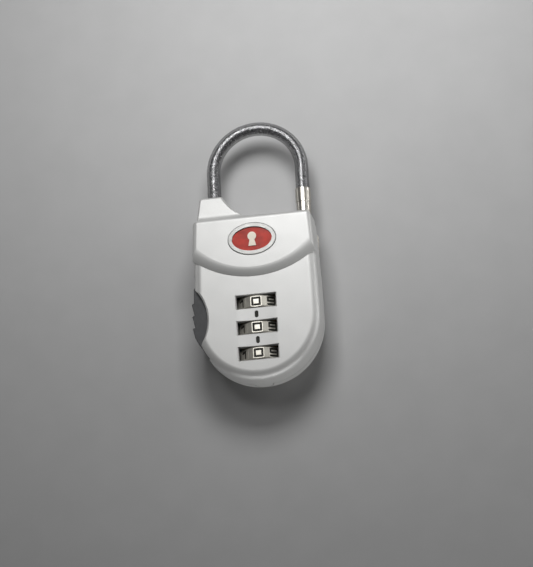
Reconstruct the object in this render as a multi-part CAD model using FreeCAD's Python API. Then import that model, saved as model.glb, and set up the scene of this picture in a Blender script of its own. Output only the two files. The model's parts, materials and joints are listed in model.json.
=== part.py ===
import FreeCAD, Part
import math
import os

# Cable luggage lock, lying on its back. Millimetres.
# +X to the right, +Y towards the cable loop, +Z out of the front face.
# The origin is on the back face, in the middle of the body's length and width.

V = FreeCAD.Vector
X_AXIS, Y_AXIS, Z_AXIS = V(1, 0, 0), V(0, 1, 0), V(0, 0, 1)

# Body
BODY_DEPTH = 16.0           # back face to the raised front panel
LOWER_PANEL_Z = 14.9        # front panel around the dials
PARTING_Z = 8.0             # the two covers meet here
HALF_WIDTH = 16.5
HALF_WIDTH_TOP = 15.5
TOP_Y = 22.1
BOTTOM_CENTRE_Y = -5.6      # centre of the round lower end
CORNER_R, LOWER_CORNER_R = 1.3, 2.6
PANEL_EDGE_R, FRONT_EDGE_R = 1.25, 2.3
BACK_EDGE_R = 6.6           # the back cover is rounded like a pebble
WALL = 1.4
FLOOR_Z = 1.1               # inside of the back cover
CEILING_Z = 13.5            # inside of the front cover
SEAM = 0.15                 # depth and half height of the groove along the seam
FIT = 0.12                  # gap around pieces that only lie side by side
RUN = 0.05                  # radial gap of a running fit

# Raised panel: it rolls down between two circles
STEP_TOP_R, STEP_TOP_Y = 19.6, 27.6
STEP_FOOT_R, STEP_FOOT_Y = 25.6, 31.05

# Tower that holds the fixed end of the cable
TOWER_TOP_Y = 29.05
TOWER_BACK_Z, TOWER_FRONT_Z = 3.5, 12.5
TOWER_LEFT, TOWER_LEFT_TOP = -15.6, -14.0
SADDLE_R, SADDLE_X = 12.3, 3.0      # concave shoulder between tower and body
TOWER_EDGE_R = 0.9
TOWER_ROOT_R = 2.0          # hollow round where the tower's front meets the body

# Dials
DIAL_Z = 8.2
DIAL_PITCH = 6.95
DIAL_YS = [-1.33 - DIAL_PITCH * n for n in range(3)]
DIAL_APOTHEM = 6.55
DIAL_WIDTH = 3.1
FACETS = 10
FACET_HALF_WIDTH = 1.45     # between the facets run narrow flats
WINDOW_WIDTH, WINDOW_HEIGHT = 10.4, 3.45
SLEEVE_R, SLEEVE_BORE = 4.1, 3.05
FLANGE_R = 5.2
SPINDLE_R = 3.0
DIGIT_WIDTH, DIGIT_HEIGHT, DIGIT_STROKE = 1.95, 1.8, 0.58
DIGIT_DEPTH, INK_DEPTH = 0.32, 0.14

# Release slider, in a bite out of the left side
BITE_R, BITE_X, BITE_Y = 12.5, -25.47, -4.75
SLIDER_BACK_Z, SLIDER_FRONT_Z = 3.4, 13.6
SLIDER_TRAVEL = 2.6
TOOTH_PITCH = 3.3
TOOTH_TIP_X, TOOTH_ROOT_X, TOOTH_TOP_Y = -17.15, -16.6, -0.1

# Cable: a closed loop between the tower and the socket
CABLE_Z = 8.0
LEFT_X, RIGHT_X = -10.7, 12.95
ARCH_Y = 36.6
ARCH_R = (RIGHT_X - LEFT_X) / 2
ARCH_X = (RIGHT_X + LEFT_X) / 2
JACKET_R, ROPE_R = 1.8, 0.9
ANCHOR_PIN_Y, ANCHOR_PIN_R = 23.4, 0.6
HINGE_COUNT = 6
HINGE_END_GAP = 1.5                 # first and last bend, from the tower and from the ferrule
BEAD_SETBACK = 1.9                  # from a bend to the centre of the jacket's round end

# Ferrule on the free end, and its socket
COLLAR_TOP_Y, COLLAR_FOOT_Y, PIN_TIP_Y = 30.4, 26.35, 15.9
COLLAR_R, PIN_R, SOCKET_R = 2.02, 1.88, 2.1
GROOVE_LOW_Y, GROOVE_HIGH_Y, GROOVE_R = 17.0, 19.6, 1.15
SOCKET_END_Y = 12.2

# Bolt and the carriage that draws it back
BOLT_BACK_Z, BOLT_FRONT_Z = 6.9, 9.1
BOLT_LOW_Y, BOLT_HIGH_Y = 17.2, 19.4
BOLT_NOSE_X = RIGHT_X - SOCKET_R - 0.05
BOLT_TRAVEL = 1.9
CARRIAGE_BACK_Z, CARRIAGE_FRONT_Z = 4.8, 6.6
DRIVE_PIN = V(-3.5, 12.5, 0)
DRIVE_PIN_R = 0.8

# Override key cylinder, in the right side
KEY_Y, KEY_Z, KEY_R = 8.4, 5.6, 2.1
KEY_OUTER_X, KEY_INNER_X = 14.2, 5.2
KEYWAY_LENGTH, KEYWAY_WIDTH = 3.15, 1.1

# Reset slide, above the key cylinder
RESET_LOW_Y, RESET_HIGH_Y, RESET_Z, RESET_TRAVEL = 12.6, 17.8, 5.2, 1.6

# Badge
BADGE_Y, BADGE_LENGTH, BADGE_HEIGHT, BADGE_RIM = 15.35, 12.8, 8.8, 1.1
BADGE_SEAT_Z = 15.0

RIVETS = [(-10.2, 16.2), (7.0, 13.5), (9.8, -13.3), (-8.8, -16.1)]
RIVET_R, RIVET_HEAD_R, BOSS_R = 0.95, 1.5, 1.85
RIVET_HEAD_Z = 2.0

nodes = {}


def box(x0, x1, y0, y1, z0, z1):
    return Part.makeBox(x1 - x0, y1 - y0, z1 - z0, V(x0, y0, z0))


def rod(start, axis, radius, length):
    return Part.makeCylinder(radius, length, start, axis)


def along_y(x, y0, y1, radius, z=CABLE_Z):
    return rod(V(x, y0, z), Y_AXIS, radius, y1 - y0)


def joined(shapes):
    return shapes[0].multiFuse(shapes[1:]).removeSplitter()


def carve(shape, cutters):
    for cutter in cutters:
        shape = shape.cut(cutter)
    return shape


def arc(start, middle, end):
    return Part.Arc(start, middle, end).toShape()


def line(start, end):
    return Part.LineSegment(start, end).toShape()


def prism(edges, z0, z1):
    face = Part.Face(Part.Wire(edges))
    face.translate(V(0, 0, z0))
    return face.extrude(V(0, 0, z1 - z0))


def polygon(points, z0, z1):
    corners = [V(x, y, 0) for x, y in points]
    return prism([line(a, b) for a, b in zip(corners, corners[1:] + corners[:1])], z0, z1)


def side_circle(wide, narrow, top):
    """Centre and radius of the arc down the right side."""
    middle_y = (BOTTOM_CENTRE_Y + top) / 2
    bulge = V(wide - (wide - narrow) / 4, middle_y, 0)
    side = Part.Circle(V(wide, BOTTOM_CENTRE_Y, 0), bulge, V(narrow, top, 0))
    return side.Center, side.Radius


def outline(inset, corner=CORNER_R, z=0.0):
    """The body seen from the front, moved in by inset, with round top corners."""
    wide, top = HALF_WIDTH - inset, TOP_Y - inset
    centre, radius = side_circle(wide, HALF_WIDTH_TOP - inset, top)
    drop = top - corner - centre.y
    corner_x = centre.x + math.sqrt((radius - corner) ** 2 - drop ** 2)
    corner_y = top - corner
    reach = radius / (radius - corner)
    meet_x = centre.x + (corner_x - centre.x) * reach
    meet_y = centre.y + drop * reach
    start_turn = math.atan2(BOTTOM_CENTRE_Y - centre.y, wide - centre.x)
    turn = (start_turn + math.atan2(drop, corner_x - centre.x)) / 2
    side_x, side_y = centre.x + radius * math.cos(turn), centre.y + radius * math.sin(turn)
    turn = (math.atan2(drop, corner_x - centre.x) + math.pi / 2) / 2
    round_x, round_y = corner_x + corner * math.cos(turn), corner_y + corner * math.sin(turn)
    low_y = BOTTOM_CENTRE_Y
    return [
        arc(V(-wide, low_y, z), V(0, low_y - wide, z), V(wide, low_y, z)),
        arc(V(wide, low_y, z), V(side_x, side_y, z), V(meet_x, meet_y, z)),
        arc(V(meet_x, meet_y, z), V(round_x, round_y, z), V(corner_x, top, z)),
        line(V(corner_x, top, z), V(-corner_x, top, z)),
        arc(V(-corner_x, top, z), V(-round_x, round_y, z), V(-meet_x, meet_y, z)),
        arc(V(-meet_x, meet_y, z), V(-side_x, side_y, z), V(-wide, low_y, z)),
    ]


def edges_at(shape, test):
    return [e for e in shape.Edges if test(e.BoundBox)]


def pebble(inset, floor_z, top_z):
    """The body's outline moved in by inset, with its back edge rounded off."""
    edge = BACK_EDGE_R - inset
    wires = []
    for step in range(7):
        turn = math.radians(15 * step)
        move = inset + edge * (1 - math.sin(turn))
        level = floor_z + edge * (1 - math.cos(turn))
        wires.append(Part.Wire(outline(move, LOWER_CORNER_R + 0.4 * (move - inset), level)))
    top_of_round = floor_z + edge + 0.7
    wires.append(Part.Wire(outline(inset, LOWER_CORNER_R, top_of_round)))
    bowl = Part.makeLoft(wires, True, False)
    return joined([bowl, prism(outline(inset, LOWER_CORNER_R), top_of_round, top_z)])


def rounded_front(corner, edge_r, front_z):
    block = prism(outline(0, corner), PARTING_Z, front_z)
    return block.makeFillet(edge_r, edges_at(block, lambda b: b.ZMin > front_z - 0.01))


def disc(radius, y, z):
    return Part.Wire([Part.makeCircle(radius, V(0, y, z), Z_AXIS)])


def raised_panel_region():
    """Everything under the raised panel: its flank is a convex roll between two circles."""
    half_r, half_y = 22.6, 29.33
    drop = 0.24
    levels = [
        disc(STEP_FOOT_R, STEP_FOOT_Y, LOWER_PANEL_Z),
        disc(half_r, half_y, BODY_DEPTH - drop),
        disc(STEP_TOP_R, STEP_TOP_Y, BODY_DEPTH),
    ]
    flank = Part.makeLoft(levels, True, False)
    below = rod(V(0, STEP_FOOT_Y, PARTING_Z), Z_AXIS, STEP_FOOT_R, LOWER_PANEL_Z - PARTING_Z)
    return below.fuse(flank)


def tower():
    top = TOWER_TOP_Y
    saddle_y = TOP_Y + SADDLE_R
    side = math.sqrt(SADDLE_R ** 2 - (saddle_y - top) ** 2)
    start = V(SADDLE_X - side, top, 0)
    turn = math.radians(215)
    middle = V(SADDLE_X + SADDLE_R * math.cos(turn), saddle_y + SADDLE_R * math.sin(turn), 0)
    end = V(SADDLE_X, TOP_Y, 0)
    foot = TOP_Y - 2
    edges = [
        line(V(TOWER_LEFT, foot, 0), V(TOWER_LEFT_TOP, top, 0)),
        line(V(TOWER_LEFT_TOP, top, 0), start),
        arc(start, middle, end),
        line(end, V(SADDLE_X, foot, 0)),
        line(V(SADDLE_X, foot, 0), V(TOWER_LEFT, foot, 0)),
    ]
    solid = prism(edges, TOWER_BACK_Z, TOWER_FRONT_Z)
    corners = edges_at(solid, lambda b: b.ZLength > 1 and b.YMin > top - 0.01)
    solid = solid.makeFillet(TOWER_EDGE_R, corners)

    def on_rim(b):
        return b.ZLength < 0.01 and b.YMin > foot + 0.01

    return solid.makeChamfer(0.45, edges_at(solid, on_rim))


def tower_root():
    """Hollow round between the tower's front and the body's upper wall."""
    low, high = TOWER_FRONT_Z - 0.5, TOWER_FRONT_Z + TOWER_ROOT_R
    block = box(-14.4, SADDLE_X - 1, TOP_Y - 1, TOP_Y + TOWER_ROOT_R, low, high)
    hollow = rod(V(-20, TOP_Y + TOWER_ROOT_R, high), X_AXIS, TOWER_ROOT_R, 30)
    side = rod(V(SADDLE_X, TOP_Y + SADDLE_R, 0), Z_AXIS, SADDLE_R + 0.3, 20)
    return carve(block, [hollow, side])


def body_shape():
    low = joined([pebble(0, 0, PARTING_Z), rounded_front(LOWER_CORNER_R, FRONT_EDGE_R, LOWER_PANEL_Z)])
    high = rounded_front(CORNER_R, PANEL_EDGE_R, BODY_DEPTH).common(raised_panel_region())
    return joined([low, high, tower(), tower_root()])


def seam_groove():
    ring = prism(outline(-1), PARTING_Z - SEAM / 2, PARTING_Z + SEAM / 2)
    return ring.cut(prism(outline(SEAM), PARTING_Z - SEAM, PARTING_Z + SEAM))


def inner_supports():
    """Bosses, saddles and blocks that both covers share, clipped to the body."""
    supports = [rod(V(x, y, FLOOR_Z - 0.1), Z_AXIS, BOSS_R, CEILING_Z - FLOOR_Z + 0.2) for x, y in RIVETS]
    low, high = FLOOR_Z - 0.1, CEILING_Z + 0.1
    supports.append(box(-3.9, 3.9, 3.2, 4.3, low, high))
    supports.append(box(-3.9, 3.9, -20.4, -19.3, low, high))
    supports.append(box(10.4, 16.0, SOCKET_END_Y - 0.9, TOP_Y - 1, low, high))
    supports.append(box(3.0, 10.4, BOLT_LOW_Y - 0.8, BOLT_HIGH_Y + 0.8, low, high))
    supports.append(box(-14.0, -6.0, 19.6, TOP_Y - 1, low, high))
    return joined(supports)


def inner_cuts():
    """Holes and channels that cross the seam or pass through the supports."""
    bolt_x0, bolt_x1 = 2.9, RIGHT_X
    cuts = [
        rod(V(LEFT_X, ANCHOR_PIN_Y, CABLE_Z - 3.6), Z_AXIS, ANCHOR_PIN_R + 0.02, 7.2),
        along_y(RIGHT_X, SOCKET_END_Y, TOP_Y + 1, SOCKET_R),
        along_y(0, -20.45, 4.35, SPINDLE_R + 0.02, DIAL_Z),
        box(bolt_x0, bolt_x1, BOLT_LOW_Y - 0.1, BOLT_HIGH_Y + 0.1, BOLT_BACK_Z - 0.1, BOLT_FRONT_Z + 0.1),
        along_y(LEFT_X, 20.5, 26.3, 2.55),
        along_y(LEFT_X, 26.2, TOWER_TOP_Y + 1, JACKET_R + FIT),
    ]
    for x, y in RIVETS:
        cuts.append(rod(V(x, y, -0.1), Z_AXIS, RIVET_R + RUN, 12.3))
        cuts.append(rod(V(x, y, -0.1), Z_AXIS, RIVET_HEAD_R + RUN, RIVET_HEAD_Z + 0.85))
    return cuts


def slider_slot():
    """Side opening for the slider, open through both covers."""
    return box(-18, -11.2, -15.4, 7.6, SLIDER_BACK_Z - FIT, SLIDER_FRONT_Z + FIT)


def bite(z0, z1):
    return rod(V(BITE_X, BITE_Y, z0), Z_AXIS, BITE_R, z1 - z0)


def window_cutters():
    cutters = []
    flare = 0.28
    for y in DIAL_YS:
        w, h = WINDOW_WIDTH / 2, WINDOW_HEIGHT / 2
        cutters.append(box(-w, w, y - h, y + h, CEILING_Z - 1, BODY_DEPTH))
        loops = []
        for grow, z in ((0, LOWER_PANEL_Z - flare), (flare, LOWER_PANEL_Z + 0.01)):
            across, up = w + grow, h + grow
            ring = [V(-across, y - up, z), V(across, y - up, z), V(across, y + up, z), V(-across, y + up, z)]
            loops.append(Part.makePolygon(ring + ring[:1]))
        cutters.append(Part.makeLoft(loops, True, True))
    return cutters


def window_strip():
    """Faint hollow that joins the three windows."""
    depth, half = 0.14, WINDOW_WIDTH / 2
    radius = (half ** 2 + depth ** 2) / (2 * depth)
    return along_y(0, DIAL_YS[2], DIAL_YS[0], radius, LOWER_PANEL_Z - depth + radius)


def pill(x, y, z0, width, length, height):
    half, straight = width / 2, (length - width) / 2
    parts = [box(x - half, x + half, y - straight, y + straight, z0, z0 + height)]
    parts += [rod(V(x, y + s * straight, z0), Z_AXIS, half, height) for s in (-1, 1)]
    return joined(parts)


def index_places():
    return [(DIAL_YS[n] + DIAL_YS[n + 1]) / 2 for n in range(2)]


def oval(length, height, z0, z1):
    ellipse = Part.Ellipse(V(0, BADGE_Y, z0), length / 2, height / 2)
    return Part.Face(Part.Wire([ellipse.toShape()])).extrude(V(0, 0, z1 - z0))


def tongue(radius):
    """Half-round tongue of the front cover at the bottom of the seam."""
    disc_solid = rod(V(0, -23.5, PARTING_Z), Y_AXIS, radius, 2.75)
    return disc_solid.common(box(-4, 4, -24, -20.7, 0, PARTING_Z + 0.01))


def make_covers():
    body = body_shape().cut(seam_groove())
    hollow = pebble(WALL, FLOOR_Z, CEILING_Z)
    shell = body.cut(hollow)
    supports = inner_supports().common(pebble(WALL / 2, FLOOR_Z / 2, BODY_DEPTH))
    shell = shell.fuse(supports)
    shell = carve(shell, inner_cuts() + [slider_slot()])
    above, below = box(-30, 30, -40, 50, PARTING_Z, 30), box(-30, 30, -40, 50, -10, PARTING_Z)

    back = shell.copy().common(below)
    front = shell.copy().common(above)
    rim = Part.makeCone(BITE_R, BITE_R + 0.5, 0.5, V(BITE_X, BITE_Y, LOWER_PANEL_Z - 0.45), Z_AXIS)
    cutters = window_cutters() + [bite(SLIDER_FRONT_Z, 20), rim]
    cutters += [pill(0, y, LOWER_PANEL_Z - 0.45, 1.0, 1.9, 1) for y in index_places()]
    cutters.append(window_strip())
    cutters.append(oval(BADGE_LENGTH + 0.1, BADGE_HEIGHT + 0.1, BADGE_SEAT_Z, 20))
    front = carve(front, cutters).fuse(tongue(2.25).common(pebble(0.01, 0.01, 20))).removeSplitter()

    key_slot = box(12, 18, KEY_Y - KEYWAY_LENGTH / 2 - 0.1, KEY_Y + KEYWAY_LENGTH / 2 + 0.1,
                   KEY_Z - 0.75, KEY_Z + 0.75)
    reset_seat = box(15.15, 18, RESET_LOW_Y - RESET_TRAVEL - FIT, RESET_HIGH_Y + FIT,
                     RESET_Z - 0.85, RESET_Z + 0.85)
    reset_post_way = box(11.3, 16, 11.2, 15.1, RESET_Z - 0.85, RESET_Z + 0.25)
    reset_arm_way = box(10.0, 13.1, 11.2, 15.1, FLOOR_Z + 0.1, RESET_Z)
    cutters = [bite(-5, SLIDER_BACK_Z), key_slot, reset_seat, reset_post_way, reset_arm_way]
    cutters.append(tongue(2.25 + 2 * FIT))
    back = carve(back, cutters).removeSplitter()
    nodes["front_cover"] = front
    nodes["back_cover"] = back


def make_badge():
    rim_top = BODY_DEPTH + 0.25
    ring = oval(BADGE_LENGTH, BADGE_HEIGHT, BADGE_SEAT_Z, rim_top)
    ring = ring.makeChamfer(0.2, edges_at(ring, lambda b: b.ZMin > rim_top - 0.01))
    inner_length, inner_height = BADGE_LENGTH - 2 * BADGE_RIM, BADGE_HEIGHT - 2 * BADGE_RIM
    nodes["badge_bezel"] = ring.cut(oval(inner_length, inner_height, BADGE_SEAT_Z - 1, 20))
    enamel = oval(inner_length - 0.04, inner_height - 0.04, BADGE_SEAT_Z, BODY_DEPTH - 0.12)
    round_part = rod(V(0, BADGE_Y + 0.75, BODY_DEPTH - 0.3), Z_AXIS, 1.15, 0.36)
    high, low = BADGE_Y + 0.4, BADGE_Y - 1.9
    skirt = polygon([(-0.5, high), (0.5, high), (1.0, low), (-1.0, low)], BODY_DEPTH - 0.3, BODY_DEPTH + 0.06)
    glyph = joined([round_part, skirt])
    nodes["badge_enamel"] = enamel.cut(glyph)
    nodes["badge_keyhole"] = glyph


def make_index_marks():
    fills = [pill(0, y, LOWER_PANEL_Z - 0.44, 0.98, 1.88, 0.2) for y in index_places()]
    nodes["index_marks"] = Part.makeCompound(fills)


# Each digit is a few straight strokes in a cell one wide and two high.
STROKES = {
    0: [[(0, 0), (1, 0), (1, 2), (0, 2), (0, 0)]],
    1: [[(0.15, 1.5), (0.6, 2), (0.6, 0)]],
    2: [[(0, 2), (1, 2), (1, 1), (0, 1), (0, 0), (1, 0)]],
    3: [[(0, 2), (1, 2), (1, 0), (0, 0)], [(0.25, 1), (1, 1)]],
    4: [[(0, 2), (0, 0.9), (1, 0.9)], [(0.8, 2), (0.8, 0)]],
    5: [[(1, 2), (0, 2), (0, 1.1), (1, 1.1), (1, 0), (0, 0)]],
    6: [[(1, 2), (0, 2), (0, 0), (1, 0), (1, 1), (0, 1)]],
    7: [[(0, 2), (1, 2), (0.35, 0)]],
    8: [[(0, 0), (1, 0), (1, 2), (0, 2), (0, 0)], [(0, 1), (1, 1)]],
    9: [[(0, 0), (1, 0), (1, 2), (0, 2), (0, 1), (1, 1)]],
}


def digit_solid(digit, low, high):
    """One digit standing on the XY plane, centred on the origin."""
    half = DIGIT_STROKE / 2
    parts = []
    for stroke in STROKES[digit]:
        points = [V((x - 0.5) * DIGIT_WIDTH, (y - 1) * DIGIT_HEIGHT / 2, low) for x, y in stroke]
        for a, b in zip(points, points[1:]):
            run = b - a
            bar = Part.makeBox(run.Length, DIGIT_STROKE, high - low, V(0, -half, 0))
            bar.rotate(V(0, 0, 0), Z_AXIS, math.degrees(math.atan2(run.y, run.x)))
            bar.translate(a)
            parts.append(bar)
        parts += [rod(p, Z_AXIS, half, high - low) for p in points]
    return joined(parts)


def on_facet(shape, digit, y):
    placed = shape.copy()
    placed.translate(V(0, 0, DIAL_APOTHEM))
    placed.rotate(V(0, 0, 0), Y_AXIS, -360 / FACETS * digit)
    placed.translate(V(0, y, DIAL_Z))
    return placed


def dial_blank(y0, y1):
    """Ten wide facets with a narrow flat between each two."""
    ring = []
    for n in range(FACETS):
        for side in (-1, 1):
            angle = math.radians(360 / FACETS * n)
            x, z = side * FACET_HALF_WIDTH, DIAL_APOTHEM
            turned_x = x * math.cos(angle) + z * math.sin(angle)
            turned_z = z * math.cos(angle) - x * math.sin(angle)
            ring.append(V(turned_x, y0, DIAL_Z + turned_z))
    return Part.Face(Part.makePolygon(ring + ring[:1])).extrude(V(0, y1 - y0, 0))


def make_dials():
    half = DIAL_WIDTH / 2
    engraved = [digit_solid(d, -DIGIT_DEPTH, 0.3) for d in range(FACETS)]
    inked = [digit_solid(d, -DIGIT_DEPTH, -DIGIT_DEPTH + INK_DEPTH) for d in range(FACETS)]
    for n, y in enumerate(DIAL_YS, start=1):
        dial = dial_blank(y - half, y + half)
        crown = Part.makeCone(DIAL_APOTHEM - 0.1, DIAL_APOTHEM + 3, 3.1, V(0, y - half, DIAL_Z), Y_AXIS)
        foot = Part.makeCone(DIAL_APOTHEM + 3, DIAL_APOTHEM - 0.1, 3.1, V(0, y - half, DIAL_Z), Y_AXIS)
        dial = dial.common(crown).common(foot)
        cuts = [rod(V(0, y - half - 1, DIAL_Z), Y_AXIS, SLEEVE_R + RUN, DIAL_WIDTH + 2)]
        for k in range(FACETS):
            notch = box(-0.55, 0.55, y - half - 1, y + half + 1, 0, SLEEVE_R + 0.6)
            notch.rotate(V(0, 0, 0), Y_AXIS, 360 / FACETS * k)
            notch.translate(V(0, 0, DIAL_Z))
            cuts.append(notch)
        cuts += [on_facet(engraved[d], d, y) for d in range(FACETS)]
        nodes["dial_%d" % n] = dial.cut(cuts).removeSplitter()
        ink = [on_facet(inked[d], d, y) for d in range(FACETS)]
        nodes["dial_%d_numerals" % n] = Part.makeCompound(ink)


def make_sleeves():
    for n, y in enumerate(DIAL_YS, start=1):
        tube = along_y(0, y - 2.2, y + 2.95, SLEEVE_R, DIAL_Z)
        flange = along_y(0, y + 2.9, y + 3.7, FLANGE_R, DIAL_Z)
        keys = []
        for turn in (0, 180):
            key = box(-0.45, 0.45, y - 1.5, y + 1.5, 1, SLEEVE_R + 0.5)
            key.rotate(V(0, 0, 0), Y_AXIS, turn)
            key.translate(V(0, 0, DIAL_Z))
            keys.append(key)
        sleeve = joined([tube, flange] + keys)
        bore = along_y(0, y - 3, y + 4, SLEEVE_BORE, DIAL_Z)
        gate = box(-8, -3.95, y + 2, y + 4, CARRIAGE_BACK_Z - 0.3, CARRIAGE_FRONT_Z + 0.3)
        nodes["sleeve_%d" % n] = sleeve.cut(bore).cut(gate)


def make_spindle():
    shaft = along_y(0, -20.35, 4.25, SPINDLE_R, DIAL_Z)
    nodes["dial_spindle"] = shaft.makeChamfer(0.3, edges_at(shaft, lambda b: b.YLength < 0.01))
    washers = []
    for y in DIAL_YS:
        bore = along_y(0, y + 3, y + 5, SPINDLE_R + RUN, DIAL_Z)
        ring = along_y(0, y + 3.8, y + 4.35, 4.2, DIAL_Z).cut(bore)
        washers.append(ring)
    washers = washers[1:]
    nodes["spindle_washers"] = Part.makeCompound(washers)


def make_detent_spring():
    plate = box(7.25, 7.55, -18.2, 1.6, 4.2, 12.2)
    slots = [box(7, 8, y + 2.6, y + 4.35, 5.2, 11.2) for y in DIAL_YS[1:]]
    nodes["detent_spring"] = plate.cut(slots)


def slider_profile():
    """Thumb piece from the front, anticlockwise from its inner upper corner."""
    teeth = []
    for k in range(2, -1, -1):
        tip_y = TOOTH_TOP_Y - TOOTH_PITCH * k
        teeth += [(TOOTH_ROOT_X, tip_y - TOOTH_PITCH + 0.5), (TOOTH_TIP_X, tip_y - 0.2)]
        teeth += [(TOOTH_TIP_X + 0.1, tip_y), (TOOTH_ROOT_X, tip_y + 0.15)]
    points = [(-15.1, 7.0), (-11.6, 7.0), (-11.6, -12.6), (-14.3, -12.6), (-15.6, -11.4)]
    return points + teeth + [(-16.45, 3.9), (-16.1, 4.4), (-15.1, 4.6)]


def make_slider():
    body = polygon(slider_profile(), SLIDER_BACK_Z, SLIDER_FRONT_Z)

    def on_thumb_edge(b):
        return b.ZMin > SLIDER_FRONT_Z - 0.01 and b.XMax < -14.9 and b.YMax < 4.7

    body = body.makeChamfer(0.15, edges_at(body, on_thumb_edge))
    body = body.common(pebble(-0.8, -0.8, 20))
    pocket = box(-14.5, -11, -9.2, -1.8, 5.9, 9.2)
    tongue_seat = box(-13.2, -11, -0.9, 5.1, CARRIAGE_BACK_Z, CARRIAGE_FRONT_Z)
    nodes["release_slider"] = body.cut(pocket).cut(tongue_seat)


def make_carriage():
    z0, z1 = CARRIAGE_BACK_Z, CARRIAGE_FRONT_Z
    parts = [
        box(-13.1, -10.0, -0.8, 5.0, z0, z1),
        box(-10.6, -7.2, -11.0, 13.4, z0, z1),
        box(-7.5, -2.5, 11.6, 13.4, z0, z1),
        rod(V(DRIVE_PIN.x, DRIVE_PIN.y, z1 - 0.1), Z_AXIS, DRIVE_PIN_R, BOLT_FRONT_Z - z1),
    ]
    for y in DIAL_YS:
        parts.append(box(-7.5, -4.2, y + 4.4, y + 5.15, z0, z1))
    nodes["slider_carriage"] = joined(parts)


def make_bolt():
    z0, z1 = BOLT_BACK_Z, BOLT_FRONT_Z
    plate = box(-5.3, 1.4, 8.6, BOLT_HIGH_Y, z0, z1)
    bar = box(-5.3, BOLT_NOSE_X, BOLT_LOW_Y, BOLT_HIGH_Y, z0, z1)
    foot = box(-0.2, 1.4, 7.0, 9.8, CARRIAGE_BACK_Z - 0.5, z1)
    nose = edges_at(bar, lambda b: b.XMin > BOLT_NOSE_X - 0.01 and b.YMin > BOLT_HIGH_Y - 0.01)
    bar = bar.makeChamfer(0.8, nose)
    reach = V(BOLT_TRAVEL, -SLIDER_TRAVEL, 0)
    slot_parts = []
    for place in (DRIVE_PIN - reach * 0.04, DRIVE_PIN + reach * 1.04):
        slot_parts.append(rod(V(place.x, place.y, z0 - 1), Z_AXIS, DRIVE_PIN_R + FIT, 5))
    middle = box(0, reach.Length * 1.08, -DRIVE_PIN_R - FIT, DRIVE_PIN_R + FIT, z0 - 1, z0 + 4)
    middle.rotate(V(0, 0, 0), Z_AXIS, math.degrees(math.atan2(reach.y, reach.x)))
    middle.translate(DRIVE_PIN - reach * 0.04)
    slot = joined(slot_parts + [middle])
    nodes["lock_bolt"] = joined([plate, bar, foot]).cut(slot)


def make_key_cylinder():
    length = KEY_OUTER_X - KEY_INNER_X
    seat = box(KEY_INNER_X + 0.1, KEY_OUTER_X - 0.35, KEY_Y - 2.7, KEY_Y + 2.7, KEY_Z - 2.85, PARTING_Z + 0.5)
    bore = rod(V(KEY_INNER_X - 1, KEY_Y, KEY_Z), X_AXIS, KEY_R + RUN, length + 2)
    seat = seat.common(pebble(WALL + 0.05, FLOOR_Z + 0.05, 20))
    nodes["key_cylinder_housing"] = seat.cut(bore)

    plug = rod(V(KEY_INNER_X - 0.6, KEY_Y, KEY_Z), X_AXIS, KEY_R, length + 0.3)
    half_length, half_width = KEYWAY_LENGTH / 2, KEYWAY_WIDTH / 2
    keyway = box(8.0, 16, KEY_Y - half_length, KEY_Y + half_length, KEY_Z - half_width, KEY_Z + half_width)
    ward = box(8.0, 16, KEY_Y - 0.4, KEY_Y + 0.4, KEY_Z - half_width, KEY_Z - half_width + 0.35)
    wafer_slots, wafers = [], []
    for k in range(5):
        x = 8.4 + 1.05 * k
        wafer_slots.append(box(x, x + 0.6, KEY_Y - 1.75, KEY_Y + 1.75, KEY_Z - 0.95, KEY_Z + 0.95))
        wafer = box(x + 0.04, x + 0.56, KEY_Y - 1.72, KEY_Y + 1.72, KEY_Z - 0.92, KEY_Z + 0.92)
        opening = box(x - 1, x + 2, KEY_Y - 1.2, KEY_Y + 0.7 + 0.1 * (k % 3), KEY_Z - 0.5, KEY_Z + 0.5)
        wafers.append(wafer.cut(opening))
    nodes["key_plug"] = plug.cut(keyway.cut(ward)).cut(wafer_slots)
    nodes["key_wafers"] = Part.makeCompound(wafers)

    inner_end = KEY_INNER_X - 0.6
    cam = rod(V(inner_end - 0.9, KEY_Y, KEY_Z), X_AXIS, KEY_R, 0.9)
    lobe = rod(V(1.6, KEY_Y, KEY_Z), X_AXIS, KEY_R, inner_end - 2.4)
    lobe = lobe.common(box(1, 5, KEY_Y - 1.2, KEY_Y + 1.2, KEY_Z - 3, KEY_Z - 0.7))
    nodes["key_cam"] = joined([cam, lobe])


def make_reset():
    plate = box(15.2, 16.0, RESET_LOW_Y, RESET_HIGH_Y, RESET_Z - 0.75, RESET_Z + 0.75)
    plate = plate.makeFillet(0.35, edges_at(plate, lambda b: b.XMin > 15.99))
    dimple = rod(V(15.6, RESET_HIGH_Y - 1.2, RESET_Z), X_AXIS, 0.45, 2)
    post = box(12.95, 15.4, 13.1, 14.9, RESET_Z - 0.7, RESET_Z + 0.1)
    nodes["reset_slide"] = joined([plate, post]).cut(dimple)
    leg = box(11.5, 12.9, 13.1, 14.9, 2.1, RESET_Z + 0.1)
    rail = box(10.2, 11.55, 3.6, 14.9, 1.5, 2.6)
    fork = box(4.8, 11.55, 3.6, 4.9, 1.5, 2.6)
    nodes["reset_arm"] = joined([leg, rail, fork]).common(pebble(WALL + 0.1, FLOOR_Z + 0.1, 20))


def coil(start, coil_radius, wire_radius, length, turns):
    """Compression spring along Y."""
    helix = Part.makeHelix(length / turns, length, coil_radius)
    circle = Part.makeCircle(wire_radius, V(coil_radius, 0, 0), Y_AXIS)
    spring = Part.Wire(helix).makePipeShell([Part.Wire([circle])], True, True)
    spring.rotate(V(0, 0, 0), X_AXIS, -90)
    spring.translate(start)
    return spring


def make_springs():
    nodes["slider_spring"] = coil(V(-13.3, -7.5, 7.4), 0.85, 0.2, 5.4, 6)
    nodes["ejector_spring"] = coil(V(RIGHT_X, 12.45, CABLE_Z), 0.85, 0.2, 1.85, 2)


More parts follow.
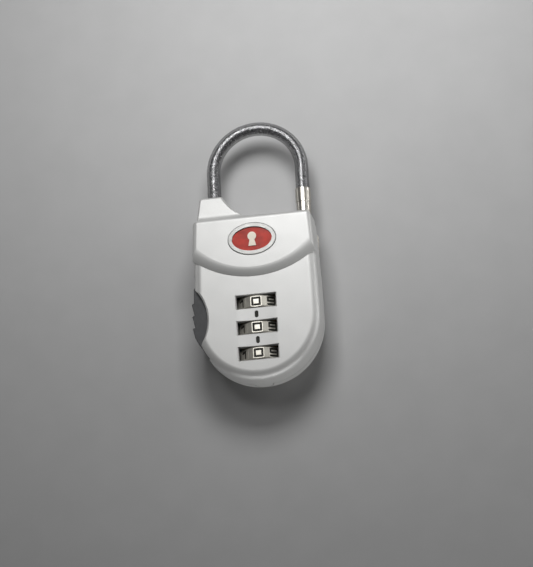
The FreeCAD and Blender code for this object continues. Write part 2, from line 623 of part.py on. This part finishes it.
def make_spring_post():
    """Bracket on the back cover that the slider's spring pushes against."""
    leg = box(-11.45, -10.75, -8.8, -7.75, FLOOR_Z, 8.9).common(pebble(WALL, FLOOR_Z, 20))
    arm = box(-14.3, -10.75, -8.8, -7.75, 6.2, 8.9)
    nodes["spring_post"] = joined([leg, arm])


def make_ejector():
    head = along_y(RIGHT_X, 14.6, PIN_TIP_Y - 0.1, SOCKET_R - RUN)
    stem = along_y(RIGHT_X, 12.9, 14.7, 0.55)
    nodes["ejector_plunger"] = joined([head, stem])


def make_rivets():
    rivets = []
    for x, y in RIVETS:
        shank = rod(V(x, y, RIVET_HEAD_Z + 0.1), Z_AXIS, RIVET_R, 12.1 - RIVET_HEAD_Z - 0.1)
        head = rod(V(x, y, RIVET_HEAD_Z), Z_AXIS, RIVET_HEAD_R, 0.7)
        head = head.makeFillet(0.25, edges_at(head, lambda b: b.ZMax < RIVET_HEAD_Z + 0.01))
        dimple = rod(V(x, y, 0), Z_AXIS, 0.55, RIVET_HEAD_Z + 0.25)
        rivets.append(joined([shank, head]).cut(dimple))
    nodes["cover_rivets"] = Part.makeCompound(rivets)


def cable_length():
    return (ARCH_Y - TOWER_TOP_Y) + math.pi * ARCH_R + (ARCH_Y - COLLAR_TOP_Y)


def cable_point(s):
    """Centre line, s millimetres from the top of the tower."""
    leg = ARCH_Y - TOWER_TOP_Y
    if s < leg:
        return V(LEFT_X, TOWER_TOP_Y + s, CABLE_Z)
    turn = (s - leg) / ARCH_R
    if turn < math.pi:
        return V(ARCH_X - ARCH_R * math.cos(turn), ARCH_Y + ARCH_R * math.sin(turn), CABLE_Z)
    return V(RIGHT_X, ARCH_Y - (s - leg - math.pi * ARCH_R), CABLE_Z)


def cable_direction(s):
    step = 0.001
    return (cable_point(s + step) - cable_point(s - step)).normalize()


def cable_path(s0, s1):
    """Straight runs and one arc between two places on the centre line."""
    leg = ARCH_Y - TOWER_TOP_Y
    stops = [leg, leg + math.pi * ARCH_R]
    marks = [s0] + [s for s in stops if s0 < s < s1] + [s1]
    edges = []
    for a, b in zip(marks, marks[1:]):
        on_arch = leg - 0.001 < a and b < stops[1] + 0.001
        if on_arch:
            edges.append(arc(cable_point(a), cable_point((a + b) / 2), cable_point(b)))
        else:
            edges.append(line(cable_point(a), cable_point(b)))
    return Part.Wire(edges)


def cable_tube(s0, s1, radius):
    ring = Part.Wire([Part.makeCircle(radius, cable_point(s0), cable_direction(s0 + 0.01))])
    return cable_path(s0, s1).makePipeShell([ring], True, False)


def bend_places():
    first, last = HINGE_END_GAP, cable_length() - HINGE_END_GAP
    step = (last - first) / (HINGE_COUNT - 1)
    return [first + step * k for k in range(HINGE_COUNT)]


def make_cable():
    bends = bend_places()
    for k, (a, b) in enumerate(zip(bends, bends[1:]), start=1):
        s0, s1 = a + BEAD_SETBACK, b - BEAD_SETBACK
        ends = [Part.makeSphere(JACKET_R, cable_point(s)) for s in (s0, s1)]
        jacket = joined([cable_tube(s0, s1, JACKET_R)] + ends)
        rope = cable_tube(a + 0.35, b - 0.35, ROPE_R)
        nodes["cable_jacket_%d" % k] = jacket.cut(rope)
        nodes["cable_rope_%d" % k] = rope
    fixed_end = bends[0] - BEAD_SETBACK
    low = 26.2
    jacket = along_y(LEFT_X, low, cable_point(fixed_end).y, JACKET_R)
    jacket = joined([jacket, Part.makeSphere(JACKET_R, cable_point(fixed_end))])
    rope = along_y(LEFT_X, 21.0, cable_point(bends[0] - 0.35).y, ROPE_R)
    nodes["cable_jacket_0"] = jacket.cut(rope)
    nodes["cable_rope_0"] = rope
    free_end = bends[-1] + BEAD_SETBACK
    low = COLLAR_TOP_Y - 3
    jacket = along_y(RIGHT_X, low, cable_point(free_end).y, JACKET_R)
    jacket = joined([jacket, Part.makeSphere(JACKET_R, cable_point(free_end))])
    rope = along_y(RIGHT_X, low - 2.4, cable_point(bends[-1] + 0.35).y, ROPE_R)
    nodes["cable_jacket_6"] = jacket.cut(rope)
    nodes["cable_rope_6"] = rope
    print("cable centre line between tower and collar: %.2f mm" % cable_length())
    for k, s in enumerate(bends, start=1):
        place = cable_point(s)
        print("bend %d at %.4f %.4f %.4f" % (k, place.x, place.y, place.z))


def make_anchor():
    barrel = along_y(LEFT_X, 20.6, 26.15, 2.5)
    barrel = barrel.makeChamfer(0.3, edges_at(barrel, lambda b: b.YLength < 0.01))
    bore = along_y(LEFT_X, 20, 27, ROPE_R)
    pin_hole = rod(V(LEFT_X, ANCHOR_PIN_Y, 0), Z_AXIS, ANCHOR_PIN_R + 0.02, 20)
    pin = rod(V(LEFT_X, ANCHOR_PIN_Y, CABLE_Z - 3.5), Z_AXIS, ANCHOR_PIN_R, 7.0)
    nodes["cable_anchor"] = barrel.cut(bore).cut(pin_hole)
    nodes["anchor_pin"] = pin
    nodes["cable_rope_0"] = nodes["cable_rope_0"].cut(pin_hole)


def make_ferrule():
    collar = along_y(RIGHT_X, COLLAR_FOOT_Y, COLLAR_TOP_Y, COLLAR_R)
    collar = collar.makeChamfer(0.18, edges_at(collar, lambda b: b.YLength < 0.01))
    pin = along_y(RIGHT_X, PIN_TIP_Y, COLLAR_FOOT_Y + 0.1, PIN_R)
    pin = pin.makeChamfer(0.5, edges_at(pin, lambda b: b.YMax < PIN_TIP_Y + 0.01))
    groove = along_y(RIGHT_X, GROOVE_LOW_Y, GROOVE_HIGH_Y, PIN_R + 1)
    groove = groove.cut(along_y(RIGHT_X, GROOVE_LOW_Y - 1, GROOVE_HIGH_Y + 1, GROOVE_R))
    low = COLLAR_TOP_Y - 3
    bore = along_y(RIGHT_X, low, COLLAR_TOP_Y + 1, JACKET_R)
    rope_bore = along_y(RIGHT_X, low - 2.4, low + 0.1, ROPE_R)
    nodes["cable_ferrule"] = joined([collar, pin]).cut(groove).cut(bore).cut(rope_bore)


make_covers()
make_badge()
make_index_marks()
make_dials()
make_sleeves()
make_spindle()
make_detent_spring()
make_slider()
make_carriage()
make_bolt()
make_key_cylinder()
make_reset()
make_springs()
make_spring_post()
make_ejector()
make_rivets()
make_cable()
make_anchor()
make_ferrule()

os.makedirs("parts", exist_ok=True)
for name, shape in nodes.items():
    shape.exportStep("parts/%s.step" % name)
    print("%-22s solids %2d valid %s volume %9.3f" % (name, len(shape.Solids), shape.isValid(), shape.Volume))
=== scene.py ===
import json
import math

import bpy
from mathutils import Matrix, Vector


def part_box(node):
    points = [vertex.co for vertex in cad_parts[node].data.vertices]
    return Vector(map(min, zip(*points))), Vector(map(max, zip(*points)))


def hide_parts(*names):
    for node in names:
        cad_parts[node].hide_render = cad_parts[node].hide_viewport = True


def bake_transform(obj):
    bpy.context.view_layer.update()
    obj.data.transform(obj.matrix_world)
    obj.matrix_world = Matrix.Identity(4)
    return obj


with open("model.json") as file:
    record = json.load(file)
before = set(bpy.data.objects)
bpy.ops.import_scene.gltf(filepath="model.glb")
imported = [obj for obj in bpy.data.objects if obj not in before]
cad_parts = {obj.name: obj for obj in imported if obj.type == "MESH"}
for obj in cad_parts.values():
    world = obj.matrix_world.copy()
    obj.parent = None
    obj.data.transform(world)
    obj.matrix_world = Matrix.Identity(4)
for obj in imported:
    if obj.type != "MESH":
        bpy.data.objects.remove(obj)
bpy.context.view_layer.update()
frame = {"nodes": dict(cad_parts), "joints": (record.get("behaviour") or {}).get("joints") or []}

MM = 0.001
scene = bpy.context.scene
scene.view_settings.view_transform = "Standard"
nodes = frame["nodes"]

# Places that the CAD gives
tower_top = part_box("front_cover")[1].y
left_low, left_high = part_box("cable_jacket_0")
right_low, right_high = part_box("cable_jacket_6")
collar_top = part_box("cable_ferrule")[1].y
bends = [Vector(j["pos_m"]) for j in frame["joints"] if j["name"].startswith("cable_bend_")]

jacket_radius = (left_high.x - left_low.x) / 2
left_x = (left_low.x + left_high.x) / 2
right_x = (right_low.x + right_high.x) / 2
cable_z = (left_low.z + left_high.z) / 2
arch_radius = (right_x - left_x) / 2
arch_x = (right_x + left_x) / 2
arch_y = bends[2].y - math.sqrt(arch_radius ** 2 - (bends[2].x - arch_x) ** 2)


# Camera: a long lens above the lock, a little below and to the right of straight on
CAMERA_DISTANCE = 0.80
PICTURE_WIDTH = 0.13953      # what the picture spans at the lock
SENSOR_WIDTH = 36


def aim_camera():
    towards = Vector((0.15, -0.30, 0.942)).normalized()
    right = Vector((towards.z, 0, -towards.x)).normalized()
    up = towards.cross(right)
    roll = math.radians(3.05)
    level_right, level_up = right, up
    right = level_right * math.cos(roll) - level_up * math.sin(roll)
    up = level_right * math.sin(roll) + level_up * math.cos(roll)
    body_point = Vector((0, 3.7 * MM, 8 * MM))
    centre = body_point + right * 1.83 * MM + up * 1.70 * MM
    data = bpy.data.cameras.new("camera")
    data.sensor_fit = "HORIZONTAL"
    data.sensor_width = SENSOR_WIDTH
    data.lens = SENSOR_WIDTH * CAMERA_DISTANCE / PICTURE_WIDTH
    data.clip_start = 0.01
    camera = bpy.data.objects.new("camera", data)
    place = Matrix((right, up, towards)).transposed().to_4x4()
    place.translation = centre + towards * CAMERA_DISTANCE
    camera.matrix_world = place
    scene.collection.objects.link(camera)
    scene.camera = camera


aim_camera()


# Light: a soft box low beyond the cable loop, a faint one high up, two faint strips near
# the floor, and a small box on each side that the dials' slanting facets reflect
def soft_box(name, place, target, width, height, power):
    data = bpy.data.lights.new(name, "AREA")
    data.shape = "RECTANGLE"
    data.size, data.size_y = width, height
    data.energy = power
    lamp = bpy.data.objects.new(name, data)
    lamp.location = place
    lamp.rotation_euler = (Vector(target) - Vector(place)).to_track_quat("-Z", "Y").to_euler()
    lamp.visible_camera = False
    scene.collection.objects.link(lamp)


soft_box("key", (0.020, 0.116, 0.158), (0.020, 0.110, 0), 0.10, 0.09, 0.31)
soft_box("ceiling", (-0.09, 0.18, 0.58), (0, 0, 0.012), 0.16, 0.16, 0.45)
soft_box("low_front", (0.04, -0.30, 0.013), (0, 0, 0.008), 0.45, 0.018, 0.5)
soft_box("low_right", (0.30, 0.01, 0.016), (0, 0, 0.012), 0.30, 0.025, 0.25)
soft_box("dials_right", (0.34, 0.11, 0.185), (0, -0.008, 0.014), 0.16, 0.16, 0.12)
soft_box("dials_left", (-0.38, 0.11, 0.075), (0, -0.008, 0.014), 0.16, 0.12, 0.11)

world = bpy.data.worlds.new("room")
world.use_nodes = True
world.node_tree.nodes["Background"].inputs["Color"].default_value = (1, 1, 1, 1)
world.node_tree.nodes["Background"].inputs["Strength"].default_value = 0.01
scene.world = world


# Materials. Each gets its variation from noise in the object's own coordinates.
class Shade:
    def __init__(self, name, colour, metallic=0.0, roughness=0.5):
        self.material = bpy.data.materials.new(name)
        self.material.use_nodes = True
        self.tree = self.material.node_tree
        self.shader = self.tree.nodes["Principled BSDF"]
        self.shader.inputs["Base Color"].default_value = (*colour, 1)
        self.shader.inputs["Metallic"].default_value = metallic
        self.shader.inputs["Roughness"].default_value = roughness
        self.colour = colour
        self.coordinates = self.tree.nodes.new("ShaderNodeTexCoord").outputs["Object"]
        self.normal = None

    def set(self, **values):
        for name, value in values.items():
            self.shader.inputs[name.replace("_", " ")].default_value = value
        return self

    def node(self, kind, **values):
        node = self.tree.nodes.new(kind)
        for name, value in values.items():
            node.inputs[name.replace("_", " ")].default_value = value
        return node

    def stretched(self, scale):
        mapping = self.tree.nodes.new("ShaderNodeMapping")
        mapping.inputs["Scale"].default_value = scale
        self.tree.links.new(self.coordinates, mapping.inputs["Vector"])
        return mapping.outputs["Vector"]

    def noise(self, scale, detail=3.0, stretch=None):
        node = self.node("ShaderNodeTexNoise", Scale=scale, Detail=detail)
        vector = self.stretched(stretch) if stretch else self.coordinates
        self.tree.links.new(vector, node.inputs["Vector"])
        return node.outputs["Fac"]

    def ramp(self, source, stops):
        node = self.tree.nodes.new("ShaderNodeValToRGB")
        while len(node.color_ramp.elements) < len(stops):
            node.color_ramp.elements.new(0.5)
        for element, (place, colour) in zip(node.color_ramp.elements, stops):
            element.position = place
            element.color = (*colour, 1)
        self.tree.links.new(source, node.inputs["Fac"])
        return node.outputs["Color"]

    def tint(self, source, low, high, low_at=0.35, high_at=0.65):
        dark = tuple(c * low for c in self.colour)
        bright = tuple(min(1, c * high) for c in self.colour)
        colour = self.ramp(source, [(low_at, dark), (high_at, bright)])
        self.tree.links.new(colour, self.shader.inputs["Base Color"])
        return self

    def rough(self, source, low, high):
        node = self.tree.nodes.new("ShaderNodeMapRange")
        node.inputs["From Min"].default_value = 0.3
        node.inputs["From Max"].default_value = 0.7
        node.inputs["To Min"].default_value = low
        node.inputs["To Max"].default_value = high
        self.tree.links.new(source, node.inputs["Value"])
        self.tree.links.new(node.outputs["Result"], self.shader.inputs["Roughness"])
        return self

    def bump(self, source, height, strength=1.0):
        node = self.node("ShaderNodeBump", Strength=strength, Distance=height)
        self.tree.links.new(source, node.inputs["Height"])
        if self.normal is not None:
            self.tree.links.new(self.normal, node.inputs["Normal"])
        self.normal = node.outputs["Normal"]
        self.tree.links.new(self.normal, self.shader.inputs["Normal"])
        return self

    def put_on(self, *names):
        for name in names:
            give(nodes[name], self.material)
        return self


def give(piece, material):
    piece.data.materials.clear()
    piece.data.materials.append(material)


def silver_paint():
    """Sprayed metallic paint: fine flake, faint orange peel."""
    shade = Shade("silver_paint", (0.54, 0.54, 0.53), 0.45, 0.5)
    flake = shade.noise(9000, 2)
    shade.tint(flake, 0.95, 1.04)
    shade.rough(shade.noise(260, 4), 0.485, 0.515)
    shade.bump(shade.noise(2600, 3), 0.0000035)
    shade.bump(shade.noise(12000, 1), 0.0000012)
    return shade


def plated(name, colour, low, high, stretch=(1, 1, 1), metallic=1.0):
    """Bright plating with fine polishing marks."""
    shade = Shade(name, colour, metallic, low)
    marks = shade.noise(3200, 4, stretch)
    shade.rough(shade.noise(700, 4), low, high)
    shade.bump(marks, 0.0000008)
    shade.tint(shade.noise(420, 3), 0.94, 1.03)
    return shade


def cast_metal(name, colour, roughness):
    shade = Shade(name, colour, 1.0, roughness)
    shade.tint(shade.noise(1400, 4), 0.8, 1.08)
    shade.rough(shade.noise(900, 4), roughness - 0.08, roughness + 0.1)
    shade.bump(shade.noise(2200, 4), 0.000006)
    return shade


def moulded(name, colour, roughness, grain):
    """Spark-textured plastic."""
    shade = Shade(name, colour, 0.0, roughness)
    shade.tint(shade.noise(600, 4), 0.86, 1.12)
    shade.bump(shade.noise(grain, 2), 0.000012)
    shade.rough(shade.noise(1200, 3), roughness - 0.06, roughness + 0.08)
    return shade


def enamel(name, colour, low, high):
    shade = Shade(name, colour, 0.0, 0.3)
    shade.tint(shade.noise(330, 2, (1, 1.6, 1)), low, high, 0.3, 0.7)
    shade.rough(shade.noise(900, 3), 0.26, 0.36)
    shade.bump(shade.noise(500, 2), 0.000008)
    shade.set(Specular_IOR_Level=0.15)
    return shade


paint = silver_paint()
paint.put_on("front_cover", "back_cover")
nickel = plated("nickel", (0.56, 0.54, 0.48), 0.32, 0.42, (0.15, 1, 1), 0.75)
nickel.put_on("dial_1", "dial_2", "dial_3")
ink = moulded("numeral_ink", (0.012, 0.012, 0.008), 0.7, 5200)
ink.put_on("dial_1_numerals", "dial_2_numerals", "dial_3_numerals", "index_marks")
moulded("slider_grey", (0.040, 0.041, 0.044), 0.55, 5200).put_on("release_slider")
polished = plated("polished_plate", (0.46, 0.44, 0.40), 0.26, 0.36, (1, 0.1, 1), 1.0)
polished.put_on("cable_ferrule", "reset_slide")
plated("bezel_plate", (0.30, 0.30, 0.29), 0.34, 0.44, metallic=0.6).put_on("badge_bezel")
enamel("red_enamel", (0.40, 0.022, 0.009), 0.72, 1.25).put_on("badge_enamel")
enamel("cream_enamel", (0.82, 0.76, 0.64), 0.94, 1.05).put_on("badge_keyhole")
steel = plated("plain_steel", (0.55, 0.56, 0.57), 0.24, 0.38, (1, 0.2, 1))
steel.put_on("dial_spindle", "spindle_washers", "detent_spring", "slider_carriage",
             "lock_bolt", "key_cam", "reset_arm", "ejector_plunger", "cover_rivets",
             "cable_anchor", "anchor_pin")
cast_metal("die_cast_zinc", (0.52, 0.53, 0.54), 0.5).put_on("key_cylinder_housing", "spring_post")
brass = cast_metal("turned_brass", (0.72, 0.55, 0.26), 0.3)
brass.put_on("sleeve_1", "sleeve_2", "sleeve_3", "key_plug", "key_wafers")


def clear_jacket():
    """Clear flexible PVC with a smoky tint: partly see-through."""
    shade = Shade("clear_pvc", (0.07, 0.07, 0.073), 0.0, 0.22)
    shade.tint(shade.noise(350, 3), 0.9, 1.08)
    shade.rough(shade.noise(900, 3), 0.18, 0.28)
    shade.bump(shade.noise(420, 3), 0.000004)
    shade.set(Alpha=0.42, Specular_IOR_Level=0.2)
    return shade


def wire_metal():
    shade = Shade("drawn_wire", (0.80, 0.80, 0.81), 1.0, 0.22)
    shade.tint(shade.noise(1500, 3), 0.6, 1.2)
    shade.rough(shade.noise(2200, 3), 0.18, 0.28)
    shade.bump(shade.noise(6000, 2), 0.000002)
    return shade


# Cable: a clear jacket over a rope of steel wires
def cable_frame(s):
    """Centre, tangent and outward normal, s metres from the top of the tower."""
    leg = arch_y - tower_top
    if s < leg:
        return Vector((left_x, tower_top + s, cable_z)), Vector((0, 1, 0)), Vector((-1, 0, 0))
    turn = (s - leg) / arch_radius
    if turn < math.pi:
        outward = Vector((-math.cos(turn), math.sin(turn), 0))
        tangent = Vector((math.sin(turn), math.cos(turn), 0))
        return Vector((arch_x, arch_y, cable_z)) + outward * arch_radius, tangent, outward
    down = s - leg - math.pi * arch_radius
    return Vector((right_x, arch_y - down, cable_z)), Vector((0, -1, 0)), Vector((1, 0, 0))


def tube_rings(places, tangents, radius, sides):
    """Rings of points square to each tangent."""
    rings = []
    flat = Vector((0, 0, 1))
    for place, tangent in zip(places, tangents):
        side = tangent.cross(flat).normalized()
        lift = side.cross(tangent).normalized()
        ring = []
        for n in range(sides):
            angle = 2 * math.pi * n / sides
            ring.append(place + (side * math.cos(angle) + lift * math.sin(angle)) * radius)
        rings.append(ring)
    return rings


def add_tube(vertices, faces, rings):
    start, sides = len(vertices), len(rings[0])
    for ring in rings:
        vertices.extend(ring)
    for r in range(len(rings) - 1):
        for n in range(sides):
            a = start + r * sides + n
            b = start + r * sides + (n + 1) % sides
            faces.append((a, b, b + sides, a + sides))


def mesh_piece(name, vertices, faces, material):
    data = bpy.data.meshes.new(name)
    data.from_pydata([tuple(v) for v in vertices], [], faces)
    data.update()
    data.polygons.foreach_set("use_smooth", [True] * len(data.polygons))
    piece = bpy.data.objects.new(name, data)
    scene.collection.objects.link(piece)
    give(piece, material)
    return piece


def along(s0, s1, step):
    count = max(2, round((s1 - s0) / step))
    return [s0 + (s1 - s0) * n / count for n in range(count + 1)]


def jacket_piece(name, s0, s1, material):
    vertices, faces = [], []
    frames = [cable_frame(s) for s in along(s0, s1, 0.35 * MM)]
    places, tangents = [f[0] for f in frames], [f[1] for f in frames]
    add_tube(vertices, faces, tube_rings(places, tangents, jacket_radius, 40))
    return mesh_piece(name, vertices, faces, material)


OUTER_WIRES, ROPE_LAY = 14, 11.2 * MM
CORE_RADIUS, WIRE_ORBIT, WIRE_RADIUS = 0.86 * MM, 1.02 * MM, 0.20 * MM


def wire_line(stops, wire):
    """One outer wire of the rope, laid left-handed round the cable."""
    points = []
    for s in stops:
        place, tangent, outward = cable_frame(s)
        angle = 2 * math.pi * (wire / OUTER_WIRES - s / ROPE_LAY)
        offset = outward * math.cos(angle) + Vector((0, 0, 1)) * math.sin(angle)
        points.append(place + offset * WIRE_ORBIT)
    return points


def tangents_of(points):
    out = []
    for n in range(len(points)):
        out.append((points[min(n + 1, len(points) - 1)] - points[max(n - 1, 0)]).normalized())
    return out


def rope_piece(name, s0, s1, material):
    vertices, faces = [], []
    stops = along(s0, s1, 0.3 * MM)
    core = [cable_frame(s)[0] for s in stops]
    add_tube(vertices, faces, tube_rings(core, tangents_of(core), CORE_RADIUS, 20))
    for wire in range(OUTER_WIRES):
        points = wire_line(stops, wire)
        add_tube(vertices, faces, tube_rings(points, tangents_of(points), WIRE_RADIUS, 8))
    return mesh_piece(name, vertices, faces, material)


def make_cable():
    leg = arch_y - tower_top
    total = leg + math.pi * arch_radius + arch_y - collar_top
    first = bends[0].y - tower_top
    step = (total - 2 * first) / (len(bends) - 1)
    hinge_at = [first + step * k for k in range(len(bends))]
    marks = [-(tower_top - left_low.y)] + [a + step / 2 for a in hinge_at[:-1]]
    marks.append(total + collar_top - right_low.y)
    clear, wire = clear_jacket().material, wire_metal().material
    for k, hinge in enumerate(hinge_at):
        jacket = jacket_piece("jacket_%d" % (k + 1), marks[k], marks[k + 1], clear)
        rope = rope_piece("rope_%d" % (k + 1), marks[k], marks[k + 1], wire)
        for piece in (jacket, rope):
            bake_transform(piece)
        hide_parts("cable_jacket_%d" % k)
        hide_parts("cable_rope_%d" % k)
        if k == len(hinge_at) - 1:
            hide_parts("cable_jacket_%d" % (k + 1))
            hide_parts("cable_rope_%d" % (k + 1))


make_cable()


# Springs, redrawn as coils of wire spanning each spring part from end to end
SPRING_WIRE_RADIUS = 0.2 * MM
STEPS_A_TURN = 24


def make_spring(name, node, turns):
    low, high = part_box(node)
    wire_radius = SPRING_WIRE_RADIUS
    centre = (low + high) / 2
    coil_radius = (high.x - low.x) / 2 - wire_radius
    start_y, end_y = low.y + wire_radius, high.y - wire_radius
    points = []
    steps = turns * STEPS_A_TURN
    for n in range(steps + 1):
        angle = 2 * math.pi * n / STEPS_A_TURN
        x, z = centre.x + coil_radius * math.cos(angle), centre.z + coil_radius * math.sin(angle)
        points.append(Vector((x, start_y + (end_y - start_y) * n / steps, z)))
    vertices, faces = [], []
    add_tube(vertices, faces, tube_rings(points, tangents_of(points), wire_radius * 0.95, 8))
    piece = mesh_piece(name, vertices, faces, steel.material)
    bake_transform(piece)
    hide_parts(node)


make_spring("slider_coil", "slider_spring", 6)
make_spring("ejector_coil", "ejector_spring", 2)


# Floor
def make_floor():
    shade = Shade("floor_grey", (0.42, 0.42, 0.42), 0.0, 0.7)
    shade.tint(shade.noise(120, 5), 0.985, 1.015)
    shade.bump(shade.noise(900, 3), 0.00001)
    shade.rough(shade.noise(40, 3), 0.65, 0.75)
    half = 1.5
    corners = [(-half, -half, 0), (half, -half, 0), (half, half, 0), (-half, half, 0)]
    floor = mesh_piece("floor", [Vector(c) for c in corners], [(0, 1, 2, 3)], shade.material)


make_floor()
